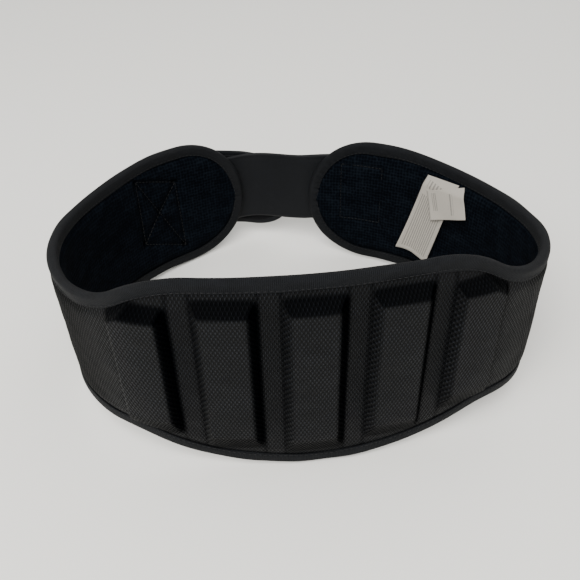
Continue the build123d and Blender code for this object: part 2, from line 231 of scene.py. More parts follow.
def edges(run, inset=0.0):
    """Heights of the wall's lower and upper edge, drawn in by an inset."""
    x, y, _, _ = walk(run)
    from_belly = np.abs(x - BELLY_SHIFT)
    x = np.abs(x)
    front = y > SPLIT_Y
    rise = HUMP_END - HUMP_HALF
    fall = BACK_TOP - SIDE_TOP
    radius = (rise**2 + fall**2) / (4 * fall)
    near = np.clip(x - HUMP_HALF, 0, rise / 2)
    far = np.clip(HUMP_END - x, 0, rise / 2)
    upper = BACK_TOP - radius + np.sqrt(radius**2 - near**2)
    lower_part = SIDE_TOP + radius - np.sqrt(radius**2 - far**2)
    top = np.where(x < HUMP_HALF + rise / 2, upper, lower_part)
    flare = math.acos(1 - (BACK_BOTTOM - SIDE_BOTTOM) / (BELLY_R + BELLY_FLARE_R))
    belly_end = BELLY_R * math.sin(flare)
    foot_end = (BELLY_R + BELLY_FLARE_R) * math.sin(flare)
    belly = -BACK_BOTTOM + BELLY_R - np.sqrt(BELLY_R**2 - np.clip(from_belly, 0, belly_end) ** 2)
    left_over = np.clip(foot_end - from_belly, 0, foot_end - belly_end)
    foot = -SIDE_BOTTOM - BELLY_FLARE_R + np.sqrt(BELLY_FLARE_R**2 - left_over**2)
    bottom = np.where(from_belly < belly_end, belly, foot)
    climb = smooth((WING_RISE_START - x) / (WING_RISE_START - WING_RISE_END))
    wing_top = SIDE_TOP + (WING_TOP - SIDE_TOP) * climb
    into = np.clip(WING_GAP / 2 + WING_END_R - x, 0, WING_END_R - inset)
    drop = (WING_END_R - inset) - np.sqrt((WING_END_R - inset) ** 2 - into**2)
    top = np.where(front, wing_top - inset - drop, top - inset)
    bottom = np.where(front, -SIDE_BOTTOM + inset + drop, bottom + inset)
    return bottom, top


def wing_run(side, x):
    """Run of the point of a wing's middle surface at a distance x from the belt's middle."""
    return side * (RUN_END[side] - WING_R * (np.arcsin(x / WING_R) - math.asin(WING_GAP / 2 / WING_R)))


def columns(inset, pitch, round_steps):
    """Runs of the wall's columns from the left wing's end to the right one's."""
    turn = np.sin(np.linspace(math.pi / 2, 0, round_steps + 1))
    x = WING_GAP / 2 + WING_END_R - (WING_END_R - inset) * turn
    left = wing_run(-1, x)
    right = wing_run(1, x)[::-1]
    count = round((right[0] - left[-1]) / pitch)
    return np.concatenate([left[:-1], np.linspace(left[-1], right[0], count + 1), right[1:]])


def tipped(x, y, z):
    """Belt frame to the row frame, before it is set down."""
    c, s = math.cos(TIP), math.sin(TIP)
    return np.stack([x, y * c + z * s, -y * s + z * c], -1)


def wall_raw(run, height, out):
    x, y, nx, ny = walk(run)
    far = out + height * LEAN
    return tipped(x + nx * far, y + ny * far, height + 0 * x)


def set_down():
    """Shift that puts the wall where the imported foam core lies."""
    run = columns(0, 0.002, 30)
    low, high = edges(run)
    both = np.concatenate([wall_raw(run, h, o) for h in (low, high) for o in (-0.0022, 0.0026)])
    box_low, box_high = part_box("foam_core")
    here = (both.min(0) + both.max(0)) / 2
    there = (np.array(box_low) + np.array(box_high)) / 2
    return there - here


SET_DOWN = set_down()


def wall(run, height, out):
    """Point of the wall in the row frame."""
    return wall_raw(run, height, out) + SET_DOWN


def front_y(x, out):
    """Y of the front closure at each x: on the wings, and bowed across the gap."""
    half = WING_GAP / 2
    ends = {}
    slopes = {}
    y = np.zeros(np.broadcast(x, out).shape)
    for side in (1, -1):
        radius = WING_R + out
        root = np.sqrt(radius**2 - half**2)
        ends[side] = CENTRE_Y[side] + root
        slopes[side] = -side * half / root
        y = np.where(x * side > half, CENTRE_Y[side] + np.sqrt(radius**2 - x**2), y)
    t = np.clip((x + half) / WING_GAP, 0, 1)
    a = ends[-1] * (1 + 2 * t) * (1 - t) ** 2 + ends[1] * t * t * (3 - 2 * t)
    b = WING_GAP * (slopes[-1] * t * (1 - t) ** 2 - slopes[1] * t * t * (1 - t))
    return np.where(np.abs(x) > half, y, a + b)


def front(x, z, out):
    """Point of the front closure in the row frame, from its place in the front view."""
    return tipped(x, front_y(x, out + z * LEAN), z) + SET_DOWN


# --- mesh helpers ----------------------------------------------------------------------------
def new_object(name, verts, faces, uvs=None):
    mesh = bpy.data.meshes.new(name)
    mesh.from_pydata(verts.tolist(), [], faces.tolist() if hasattr(faces, "tolist") else faces)
    if uvs is not None:
        layer = mesh.uv_layers.new(name="cloth")
        index = np.zeros(len(mesh.loops), np.int32)
        mesh.loops.foreach_get("vertex_index", index)
        layer.data.foreach_set("uv", uvs[index].astype(np.float32).ravel())
    obj = bpy.data.objects.new(name, mesh)
    bpy.context.scene.collection.objects.link(obj)
    mesh.polygons.foreach_set("use_smooth", [True] * len(mesh.polygons))
    bm = bmesh.new()
    bm.from_mesh(mesh)
    bmesh.ops.recalc_face_normals(bm, faces=bm.faces)
    bm.to_mesh(mesh)
    bm.free()
    mesh.update()
    return obj


def grid_faces(nu, nv, first=0, close_u=False, close_v=False):
    """Quads of a grid of nu by nv points."""
    index = np.arange(nu * nv).reshape(nu, nv) + first
    if close_u:
        index = np.concatenate([index, index[:1]], 0)
    if close_v:
        index = np.concatenate([index, index[:, :1]], 1)
    quads = [index[:-1, :-1], index[1:, :-1], index[1:, 1:], index[:-1, 1:]]
    return np.stack(quads, -1).reshape(-1, 4)


def rim(index):
    """The border of a grid of point numbers, once round."""
    return np.concatenate([index[:-1, 0], index[-1, :-1], index[:0:-1, -1], index[0, :0:-1]])


def slab(name, face, back, uv):
    """Closed sheet between two grids of points."""
    nu, nv = face.shape[:2]
    verts = np.concatenate([face.reshape(-1, 3), back.reshape(-1, 3)])
    index = np.arange(nu * nv).reshape(nu, nv)
    ring = rim(index)
    following = np.roll(ring, -1)
    sides = np.stack([ring, following, following + nu * nv, ring + nu * nv], -1)
    faces = np.concatenate([grid_faces(nu, nv), grid_faces(nu, nv, nu * nv)[:, ::-1], sides])
    uvs = np.concatenate([uv.reshape(-1, 2)] * 2)
    return new_object(name, verts, faces, uvs)


def add_map(obj, name, values):
    """Second map of a slab, with the same values on its face and its back."""
    layer = obj.data.uv_layers.new(name=name)
    index = np.zeros(len(obj.data.loops), np.int32)
    obj.data.loops.foreach_get("vertex_index", index)
    both = np.concatenate([values.reshape(-1, 2)] * 2)
    layer.data.foreach_set("uv", both[index].astype(np.float32).ravel())


def ripple(u, v, size, waves=14, seed=0):
    """Smooth seeded unevenness of about unit height, with bumps about size across."""
    own = np.random.default_rng(seed)
    total = np.zeros(np.broadcast(u, v).shape)
    for _ in range(waves):
        turn = own.uniform(0, 2 * math.pi)
        rate = 2 * math.pi / (size * own.uniform(0.8, 2.2))
        total = total + np.sin(rate * (u * math.cos(turn) + v * math.sin(turn)) + own.uniform(0, 6.3))
    return total / math.sqrt(waves)


# --- materials -------------------------------------------------------------------------------
class Nodes:
    """Short way to write a node tree."""

    def __init__(self, name):
        self.material = bpy.data.materials.new(name)
        self.material.use_nodes = True
        self.tree = self.material.node_tree
        self.shader = self.tree.nodes["Principled BSDF"]

    def add(self, kind, inputs=(), **settings):
        node = self.tree.nodes.new(kind)
        for key, value in settings.items():
            setattr(node, key, value)
        for key, value in dict(inputs).items():
            self.give(node.inputs[key], value)
        return node

    def give(self, socket, value):
        if isinstance(value, bpy.types.NodeSocket):
            self.tree.links.new(value, socket)
        else:
            socket.default_value = value

    def math(self, operation, *values):
        node = self.add("ShaderNodeMath", operation=operation)
        for socket, value in zip(node.inputs, values):
            self.give(socket, value)
        return node.outputs[0]

    def ramp(self, value, *stops):
        node = self.add("ShaderNodeValToRGB", {"Fac": value})
        elements = node.color_ramp.elements
        while len(elements) < len(stops):
            elements.new(0.5)
        for element, (place, colour) in zip(elements, stops):
            element.position = place
            element.color = (*colour, 1)
        return node.outputs["Color"]

    def noise(self, scale, detail=2.0, vector=None, roughness=0.5):
        inputs = {"Scale": scale, "Detail": detail, "Roughness": roughness}
        if vector is not None:
            inputs["Vector"] = vector
        return self.add("ShaderNodeTexNoise", inputs).outputs["Fac"]

    def uv(self, name="cloth"):
        """Both values of a map. The cloth map holds places on the cloth in metres."""
        place = self.add("ShaderNodeUVMap", uv_map=name).outputs["UV"]
        split = self.add("ShaderNodeSeparateXYZ", {"Vector": place})
        return split.outputs["X"], split.outputs["Y"]

    def wave(self, value, pitch, shift=0.0):
        """Cosine wave from 0 to 1 with a pitch in metres."""
        turned = self.math("MULTIPLY_ADD", value, 2 * math.pi / pitch, shift)
        return self.math("MULTIPLY_ADD", self.math("COSINE", turned), 0.5, 0.5)

    def between(self, value, low, high):
        """1 where the value lies between two limits, and 0 elsewhere."""
        above = self.math("GREATER_THAN", value, low)
        return self.math("MULTIPLY", above, self.math("LESS_THAN", value, high))

    def mix(self, fac, a, b):
        node = self.add("ShaderNodeMix", data_type="RGBA")
        self.give(node.inputs["Factor"], fac)
        for key, value in (("A", a), ("B", b)):
            socket = [s for s in node.inputs if s.name == key and s.type == "RGBA"][0]
            self.give(socket, value if isinstance(value, bpy.types.NodeSocket) else (*value, 1))
        return [s for s in node.outputs if s.type == "RGBA"][0]

    def bump(self, height, distance, strength=1.0, under=None):
        inputs = {"Height": height, "Distance": distance, "Strength": strength}
        if under is not None:
            inputs["Normal"] = under
        return self.add("ShaderNodeBump", inputs).outputs["Normal"]

    def finish(self, colour, roughness, normal, sheen=0.0, sheen_tint=(1, 1, 1), specular=0.5):
        self.give(self.shader.inputs["Base Color"], colour)
        self.give(self.shader.inputs["Roughness"], roughness)
        self.give(self.shader.inputs["Normal"], normal)
        self.shader.inputs["Sheen Weight"].default_value = sheen
        self.shader.inputs["Sheen Roughness"].default_value = 0.45
        self.shader.inputs["Sheen Tint"].default_value = (*sheen_tint, 1)
        self.give(self.shader.inputs["Specular IOR Level"], specular)
        return self.material


def shell_material():
    """Nylon mesh: slanting threads cross over dark diamond holes, taller than they are wide, with
    painted shade on the pads' slopes, creases and sides.
    """
    n = Nodes("shell_mesh")
    u, v = n.uv()
    tall = n.math("MULTIPLY", v, MESH_WIDTH / MESH_HEIGHT)
    rise = n.wave(n.math("ADD", u, tall), MESH_WIDTH)
    fall = n.wave(n.math("SUBTRACT", u, tall), MESH_WIDTH)
    knot = n.math("MULTIPLY", rise, fall)
    thread = n.math("MAXIMUM", rise, fall)
    broad = n.noise(24.0, 3.0)
    fine = n.noise(900.0, 2.0)
    # The relief map holds the pads' height, which lightens the tone a little where they stand out, and
    # the painted shade.
    relief, painted_shade = n.uv("relief")
    tone = n.math("MULTIPLY_ADD", thread, 0.20, n.math("MULTIPLY", fine, 0.22))
    tone = n.math("MULTIPLY_ADD", knot, 0.50, tone)
    tone = n.math("MULTIPLY", tone, n.math("MULTIPLY_ADD", broad, 0.7, 0.62))
    tone = n.math("MULTIPLY", tone, n.math("MULTIPLY_ADD", relief, 0.12, 0.98))
    # Painted shade multiplied into the tone.
    tone = n.math("MULTIPLY", tone, painted_shade)
    dark, middle, pale = (0.0001, 0.0002, 0.0004), (0.0008, 0.0011, 0.0017), (0.0098, 0.0114, 0.0150)
    colour = n.ramp(tone, (0.10, dark), (0.45, middle), (0.92, pale))
    normal = n.bump(n.math("MULTIPLY_ADD", knot, 0.6, thread), 0.0005, 1.0)
    rough = n.math("MULTIPLY_ADD", knot, -0.25, 0.68)
    # Specular follows the painted shade too, so it is cut on the slopes and the sides.
    gloss = n.math("MULTIPLY", n.math("POWER", painted_shade, 3.0), 0.12)
    return n.finish(colour, rough, normal, specular=gloss)


def lining_material():
    """Soft spacer mesh with small honeycomb dimples."""
    n = Nodes("lining_mesh")
    coords = n.add("ShaderNodeUVMap", uv_map="cloth").outputs["UV"]
    inputs = {"Vector": coords, "Scale": 380.0, "Randomness": 0.30}
    cells = n.add("ShaderNodeTexVoronoi", inputs, feature="F1")
    dimple = n.math("SUBTRACT", 1.0, n.math("MULTIPLY", cells.outputs["Distance"], 1.6))
    broad = n.noise(18.0, 3.0)
    tone = n.math("MULTIPLY_ADD", broad, 0.6, n.math("MULTIPLY", dimple, -0.55))
    colour = n.ramp(tone, (0.0, (0.0008, 0.0013, 0.0023)), (0.45, (0.0042, 0.0062, 0.0094)))
    normal = n.bump(dimple, -0.0004, 0.8)
    return n.finish(colour, 0.9, normal, specular=0.02)


def tape_material():
    """Grosgrain tape: fine ribs across its length."""
    n = Nodes("binding_tape")
    u, v = n.uv()
    rib = n.wave(u, 0.0011)
    fine = n.wave(v, 0.0005)
    broad = n.noise(40.0, 3.0)
    tone = n.math("MULTIPLY_ADD", rib, 0.42, n.math("MULTIPLY", fine, 0.08))
    tone = n.math("MULTIPLY_ADD", broad, 0.45, tone)
    colour = n.ramp(tone, (0.2, (0.0008, 0.0011, 0.0016)), (0.9, (0.0072, 0.0084, 0.0108)))
    normal = n.bump(n.math("MULTIPLY_ADD", fine, 0.2, rib), 0.00035, 1.0)
    return n.finish(colour, 0.72, normal, specular=0.14)


def webbing_material(name="webbing", light=1.0):
    """Smooth woven strap with close ribs and a satin face."""
    n = Nodes(name)
    u, v = n.uv()
    rib = n.wave(u, 0.0012)
    weft = n.wave(v, 0.0009)
    cross = n.math("MULTIPLY", rib, weft)
    broad = n.noise(30.0, 3.0)
    tone = n.math("MULTIPLY_ADD", broad, 0.6, n.math("MULTIPLY", cross, 0.25))
    dark = tuple(c * light for c in (0.0006, 0.0011, 0.0020))
    pale = tuple(c * light for c in (0.0022, 0.0032, 0.0054))
    colour = n.ramp(tone, (0.2, dark), (0.85, pale))
    normal = n.bump(cross, 0.00012, 0.6)
    return n.finish(colour, 0.6, normal, specular=0.2)


def pile_material(name, scale, depth):
    """Looped pile or hook tape."""
    n = Nodes(name)
    fuzz = n.noise(scale, 4.0, roughness=0.7)
    broad = n.noise(60.0, 2.0)
    tone = n.math("MULTIPLY_ADD", broad, 0.4, n.math("MULTIPLY", fuzz, 0.6))
    colour = n.ramp(tone, (0.3, (0.0006, 0.0007, 0.0010)), (0.75, (0.006, 0.0065, 0.008)))
    normal = n.bump(fuzz, depth, 1.0)
    return n.finish(colour, 0.95, normal, sheen=0.03, specular=0.1)


def thread_material(name="thread", light=1.0):
    n = Nodes(name)
    u, v = n.uv()
    twist = n.wave(n.math("ADD", u, v), 0.0006)
    tone = n.math("MULTIPLY_ADD", n.noise(200.0), 0.4, n.math("MULTIPLY", twist, 0.4))
    dark = tuple(c * light for c in (0.0012, 0.0014, 0.0018))
    pale = tuple(c * light for c in (0.0075, 0.0078, 0.0095))
    colour = n.ramp(tone, (0.1, dark), (0.8, pale))
    return n.finish(colour, 0.6, n.bump(twist, 0.0001, 0.7), specular=0.25)


def label_material(name, width, length, columns_of_bars):
    """Cream satin ribbon with rows of plain grey bars instead of print."""
    n = Nodes(name)
    u, v = n.uv()
    weave = n.wave(v, 0.0004)
    slub = n.noise(700.0, 2.0)
    tone = n.math("MULTIPLY_ADD", slub, 0.5, n.math("MULTIPLY", weave, 0.3))
    cloth = n.ramp(tone, (0.1, (0.25, 0.23, 0.20)), (0.7, (0.38, 0.36, 0.32)))
    ink = None
    for left, right, low, high, pitch, broken in columns_of_bars:
        inside = n.between(u, left * width, right * width)
        tall = n.between(v, low * length, high * length)
        line = n.math("GREATER_THAN", n.wave(u, pitch), 0.55)
        gaps = n.math("GREATER_THAN", n.noise(broken, 1.0), 0.42)
        bars = n.math("MULTIPLY", n.math("MULTIPLY", inside, tall), n.math("MULTIPLY", line, gaps))
        ink = bars if ink is None else n.math("MAXIMUM", ink, bars)
    colour = n.mix(n.math("MULTIPLY", ink, 0.75), cloth, (0.07, 0.066, 0.062))
    return n.finish(colour, 0.62, n.bump(weave, 0.00005, 0.5), sheen=0.1, specular=0.4)


def floor_material():
    n = Nodes("floor")
    colour = n.ramp(n.noise(2.2, 2.0), (0.3, (0.775, 0.772, 0.742)), (0.7, (0.795, 0.792, 0.762)))
    return n.finish(colour, 0.85, n.bump(n.noise(40.0, 2.0), 0.0002, 0.1), specular=0.2)


def finish_piece(obj, material, slot, body=None, *nodes):
    obj.data.materials.append(material)
    if body:
        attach(obj, body)
    if nodes:
        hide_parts(*nodes)
    return obj


# --- the padded wall -------------------------------------------------------------------------
def wall_grid():
    """Runs and heights of the wall's grid, and its distance from the wall's edge."""
    run = columns(WALL_INSET, WALL_PITCH, 34)
    low, high = edges(run, WALL_INSET)
    share = np.linspace(0, 1, WALL_ROWS)
    height = low[:, None] + (high - low)[:, None] * share[None, :]
    run = np.repeat(run[:, None], WALL_ROWS, 1)
    slope_low = np.gradient(low, run[:, 0])
    slope_high = np.gradient(high, run[:, 0])
    below = (height - low[:, None]) / np.sqrt(1 + slope_low**2)[:, None]
    above = (high[:, None] - height) / np.sqrt(1 + slope_high**2)[:, None]
    return run, height, np.minimum(below, above) + WALL_INSET


def blurred(field, times):
    """A grid field smoothed a few times over its neighbours."""
    for _ in range(times):
        for axis in (0, 1):
            last = field.shape[axis] - 1
            ahead = field.take([*range(1, last + 1), last], axis)
            before = field.take([0, *range(last)], axis)
            field = field / 2 + (ahead + before) / 4
    return field


def pad_relief(run, height, inward):
    """How far the shell stands out over the moulded pads."""
    relief = np.zeros(run.shape)
    for step, top, bottom in PADS:
        from_middle = np.abs(run - step * PAD_PITCH)
        across = (PAD_FOOT - from_middle) / SHELL_SLOPE
        ends = np.minimum((top - height) / PAD_END_SLOPE, (height - bottom) / (2 * PAD_END_SLOPE))
        near_tape = (inward - TAPE_WIDTH - 0.001) / 0.004
        level = np.clip(np.minimum(np.minimum(across, ends), near_tape), 0, 1)
        crown = np.clip(1 - (from_middle / (PAD_FACE / 2 + PAD_SLOPE)) ** 2, 0, 1)
        relief = np.maximum(relief, level * (PAD_RISE + PAD_CROWN * crown))
    return relief


def layer_out(inward, edge, full):
    """Offset of a face that swells from the tape's edge to its full place."""
    start = TAPE_WIDTH - 0.002
    return edge + (full - edge) * smooth((inward - start) / (FULL_AT - start)) ** 0.8


def painted_slope_shade(run, height, relief):
    """Painted shade: share of the mesh's tone left on the pads' slopes, in their creases and on the
    sides.
    """
    slope = np.gradient(relief, axis=0) / np.gradient(run, axis=0)
    rise = np.gradient(relief, axis=1) / np.gradient(height, axis=1)
    # Painted shade: slopes facing right, away from the key light, are darkened most, slopes facing left
    # a little, and the top and bottom bevels as well.
    painted_shade = 1 - 0.62 * smooth(-slope) - 0.10 * smooth(slope) - 0.36 * smooth(np.abs(rise) / 0.5)
    # Painted shade in the creases beside the five pads.
    from_pad = np.abs(run / PAD_PITCH - np.round(run / PAD_PITCH)) * PAD_PITCH
    painted_crease_shade = np.exp(-(((from_pad - PAD_CREASE) / 0.0012) ** 2))
    painted_shade = painted_shade - 0.22 * painted_crease_shade * (np.abs(run) < 2.5 * PAD_PITCH)
    # Kept above 0.2, with more painted shade on the sides beyond the pads.
    return np.clip(painted_shade, 0.2, 1) * (1 - 0.48 * smooth((np.abs(run) - 0.120) / 0.05))


def shell():
    run, height, inward = wall_grid()
    relief = blurred(pad_relief(run, height, inward), 1)
    # Painted shade on the pads' slopes, in their creases and on the sides, stored with the pads' height
    # in the relief map.
    painted_shade = painted_slope_shade(run, height, relief)
    tuck = -0.0004 * np.exp(-(((inward - TAPE_WIDTH) / 0.003) ** 2))
    uneven = 0.00035 * ripple(run, height, 0.05, seed=1) + 0.00012 * ripple(run, height, 0.014, seed=2)
    calm = smooth((inward - TAPE_WIDTH) / 0.006)
    out = layer_out(inward, EDGE_OUT, FULL_OUT) + relief + tuck + uneven * calm
    face, back = wall(run, height, out), wall(run, height, CORE_MID + 0 * out)
    obj = slab("shell_padded", face, back, np.stack([run, height], -1))
    add_map(obj, "relief", np.stack([relief / PAD_RISE, painted_shade], -1))
    pads = [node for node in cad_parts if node.startswith("pad_")]
    finish_piece(obj, shell_material(), "shell_mesh", "belt", "outer_shell", "foam_core", *pads)


def seam_lines(corners, cross):
    lines = [(corners[i], corners[(i + 1) % 4]) for i in range(4)]
    return lines + ([(corners[0], corners[2]), (corners[1], corners[3])] if cross else [])


def line_distance(u, v, line):
    """Distance from a line segment, and the place along it."""
    (u0, v0), (u1, v1) = line
    du, dv = u1 - u0, v1 - v0
    t = np.clip(((u - u0) * du + (v - v0) * dv) / (du**2 + dv**2), 0, 1)
    return np.hypot(u - u0 - t * du, v - v0 - t * dv), t * math.hypot(du, dv)


def puckers(from_end, height, corners, cross, depth, seed):
    """Grooves along sewn lines with folds that gather into them."""
    total = np.zeros(from_end.shape)
    own = np.random.default_rng(seed)
    for line in seam_lines(corners, cross):
        away, along = line_distance(from_end, height, line)
        total -= depth * np.exp(-((away / 0.0022) ** 2))
        fold = np.sin(along / 0.0042 + own.uniform(0, 6)) * np.sin(along / 0.0105 + own.uniform(0, 6))
        total += 0.45 * depth * fold * np.exp(-(((away - 0.004) / 0.006) ** 2))
    return total


def lining():
    run, height, inward = wall_grid()
    uneven = 0.0005 * ripple(run, height, 0.06, seed=3) + 0.00015 * ripple(run, height, 0.016, seed=4)
    calm = smooth((inward - TAPE_WIDTH) / 0.006)
    sewn = puckers(RUN_END[-1] + run, height, TAIL_X_BOX, True, 0.0020, 5)
    sewn += puckers(RUN_END[1] - run, height, STRAP_X_BOX, False, 0.0009, 6)
    tuck = 0.0008 * np.exp(-(((inward - TAPE_WIDTH) / 0.003) ** 2))
    out = layer_out(inward, EDGE_IN, FULL_IN) + tuck - (uneven + sewn) * calm
    face, back = wall(run, height, out), wall(run, height, CORE_MID + 0 * out)
    obj = slab("lining_padded", face, back, np.stack([run, height], -1))
    finish_piece(obj, lining_material(), "lining_mesh", "belt", "inner_lining")


# --- the binding -----------------------------------------------------------------------------
def edge_loop(pitch):
    """Even points once round the wall's edge in (run, height), their inward directions and places."""
    run = columns(0.0, 0.001, 90)
    low, high = edges(run)
    loop = np.concatenate([np.stack([run, low], -1), np.stack([run, high], -1)[::-1]])
    loop = np.concatenate([loop, loop[:1]])
    length = np.concatenate([[0], np.cumsum(np.hypot(*np.diff(loop, axis=0).T))])
    count = round(length[-1] / pitch)
    at = np.linspace(0, length[-1], count, endpoint=False)
    points = np.stack([np.interp(at, length, loop[:, k]) for k in (0, 1)], -1)
    for _ in range(6):
        points = points / 2 + (np.roll(points, 1, 0) + np.roll(points, -1, 0)) / 4
    ahead = np.roll(points, -1, 0) - np.roll(points, 1, 0)
    ahead /= np.hypot(*ahead.T)[:, None]
    return points, np.stack([-ahead[:, 1], ahead[:, 0]], -1), at


def binding():
    points, inward, at = edge_loop(0.0011)
    face_out = EDGE_OUT + TAPE
    face_in = EDGE_IN - TAPE
    middle = (face_out + face_in) / 2
    half = (face_out - face_in) / 2
    seam = TAPE_WIDTH - 0.0010
    rows = []
    fold = 0.0019
    for d in (TAPE_WIDTH, TAPE_WIDTH - 0.0004, seam, seam - 0.0008, 0.0048, 0.0038, 0.0028, fold):
        dip = 0.00035 * math.exp(-(((d - seam) / 0.0006) ** 2))
        rows.append((d, face_out - dip - (0.0003 if d == TAPE_WIDTH else 0)))
    over = np.linspace(math.radians(78), math.radians(-78), 11)
    rows += [(fold - (fold + TAPE) * math.cos(a), middle + half * math.sin(a)) for a in over]
    rows += [(d, 2 * middle - o) for d, o in rows[7::-1]]
    d = np.array([r[0] for r in rows])
    o = np.array([r[1] for r in rows])
    under_d = np.concatenate([d[:1], np.maximum(d[1:-1], 0.0004), d[-1:]])
    under_o = middle + (o - middle) * (half - TAPE) / half
    profile_d = np.concatenate([d, under_d[::-1]])
    profile_o = np.concatenate([o, under_o[::-1]])
    run0, high0 = points[:, :1], points[:, 1:]
    wob = 0.0004 * ripple(at, 0 * at, 0.05, seed=8)[:, None]
    reach = profile_d[None, :] + wob * (profile_d[None, :] / TAPE_WIDTH)
    run = run0 + inward[:, :1] * reach
    height = high0 + inward[:, 1:] * reach
    right_end = np.exp(-(((RUN_END[1] - run0) / 0.035) ** 2))
    left_end = 0.25 * np.exp(-(((RUN_END[-1] + run0) / 0.03) ** 2))
    tight = np.where(run0 > 0, right_end, left_end)
    pleat = np.sin(at[:, None] * 2 * math.pi / 0.0065 + 2.5 * np.sin(at[:, None] / 0.021))
    spread = smooth(profile_d[None, :] / TAPE_WIDTH)
    outward = np.sign(profile_o - middle)[None, :]
    ruffle = 0.00055 * tight * pleat * spread * outward
    soft = 0.00022 * ripple(at[:, None], profile_d[None, :], 0.02, seed=9) * outward
    out = profile_o[None, :] + ruffle + soft
    grid = wall(run, height, out)
    nu, nv = grid.shape[:2]
    across = np.concatenate([[0], np.cumsum(np.hypot(np.diff(profile_d), np.diff(profile_o)))])
    uv = np.stack(np.broadcast_arrays(at[:, None], across[None, :]), -1)
    faces = grid_faces(nu, nv, 0, True, True)
    obj = new_object("binding_tape", grid.reshape(-1, 3), faces, uv.reshape(-1, 2))
    finish_piece(obj, tape_material(), "binding_tape", "belt", "binding_upper", "binding_lower")
    return seam


def stitch_mesh(name, starts, ends, normals, radius, material):
    """Short threads from starts to ends that dip into the cloth at both ends."""
    along = np.array([0.0, 0.12, 0.35, 0.65, 0.88, 1.0])
    lift = np.array([-0.9, 0.1, 0.55, 0.55, 0.1, -0.9]) * radius
    size = np.array([0.45, 0.85, 1.0, 1.0, 0.85, 0.45]) * radius
    ring = np.linspace(0, 2 * math.pi, 7)[:-1]
    count = len(starts)
    direction = ends - starts
    side = np.cross(direction, normals)
    side /= np.linalg.norm(side, axis=1)[:, None]
    verts = (starts[:, None, None, :] + direction[:, None, None, :] * along[None, :, None, None]
             + normals[:, None, None, :] * lift[None, :, None, None]
             + side[:, None, None, :] * (size[:, None] * np.cos(ring)[None, :])[None, :, :, None]
             + normals[:, None, None, :] * (size[:, None] * np.sin(ring)[None, :])[None, :, :, None])
    tube = grid_faces(6, 6, 0, False, True)
    faces = []
    for k in range(count):
        first = k * 36
        faces += (tube + first).tolist()
        faces.append([first + j for j in range(5, -1, -1)])
        faces.append([first + 30 + j for j in range(6)])
    length = np.linalg.norm(direction, axis=1)
    reach = along[None, :, None] * length[:, None, None]
    uv = np.stack(np.broadcast_arrays(reach, ring[None, None, :] * radius), -1)
    obj = new_object(name, verts.reshape(-1, 3), faces, uv.reshape(-1, 2))
    return finish_piece(obj, material, "thread")


def surface_normals(place, run, height, out):
    """Outward directions of the wall at points, by small steps."""
    step = 0.0005
    a = place(run + step, height, out) - place(run - step, height, out)
    b = place(run, height + step, out) - place(run, height - step, out)
    n = np.cross(a, b)
    return n / np.linalg.norm(n, axis=1)[:, None]


def sewn_rows(place, path, out, pitch, share, flip=1.0):
    """Stitches along a path given in the place function's two coordinates."""
    gaps = np.hypot(*np.diff(path, axis=0).T)
    length = np.concatenate([[0], np.cumsum(gaps)])
    count = max(1, round(length[-1] / pitch))
    step = length[-1] / count
    first = np.arange(count) * step + step * (1 - share) / 2
    pick = lambda at: [np.interp(at, length, path[:, k]) for k in (0, 1)]
    a, b = pick(first), pick(first + step * share)
    starts = place(a[0], a[1], out)
    ends = place(b[0], b[1], out)
    return starts, ends, surface_normals(place, a[0], a[1], out) * flip


def binding_stitches(seam):
    points, inward, _ = edge_loop(0.002)
    path = points + inward * seam
    path = np.concatenate([path, path[:1]])
    outside = sewn_rows(wall, path, EDGE_OUT + TAPE - THREAD_R, STITCH, STITCH_SHARE)
    inside = sewn_rows(wall, path, EDGE_IN - TAPE + THREAD_R, STITCH, STITCH_SHARE, -1.0)
    both = [np.concatenate(pair) for pair in zip(outside, inside)]
    obj = stitch_mesh("binding_stitches", *both, THREAD_R, THREAD)
    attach(obj, "belt")
    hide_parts("binding_stitching")


# --- the closure -----------------------------------------------------------------------------
def strap_place(along, across, out):
    """Point of the strap: along its middle line towards the right wing, across it upwards."""
    c, s = math.cos(STRAP_CLIMB), math.sin(STRAP_CLIMB)
    x = STRAP_PIVOT[0] + along * c - across * s
    z = STRAP_PIVOT[1] + along * s + across * c
    return front(x, z, out)


def along_strap(x):
    return (x - STRAP_PIVOT[0]) / math.cos(STRAP_CLIMB)


def strap():
    """Webbing strap from the right wing across the gap to behind the left wing."""
    start, end = along_strap(STRAP_END), along_strap(STRAP_SEWN_END)
    half = STRAP_WIDTH / 2
    U, V = np.meshgrid(np.linspace(start, end, 150), np.linspace(-half, half, 48), indexing="ij")
    border = np.minimum(half - np.abs(V), np.minimum(U - start, end - U))
    thick = STRAP_T * (0.35 + 0.65 * smooth(border / 0.0012))
    hem = -0.00025 * np.exp(-(((half - np.abs(V) - 0.0035) / 0.0006) ** 2))
    free = smooth((0.034 - np.abs(U + STRAP_PIVOT[0])) / 0.02)
    middle = (STRAP_IN + STRAP_OUT) / 2 + 0.0004 * ripple(U, V, 0.045, seed=11) * free
    uv = np.stack([U, V], -1)
    face = strap_place(U, V, middle + thick / 2 + hem)
    back = strap_place(U, V, middle - thick / 2 - hem)
    obj = slab("strap_webbing", face, back, uv)
    finish_piece(obj, webbing_material(), "webbing", "belt", "strap")


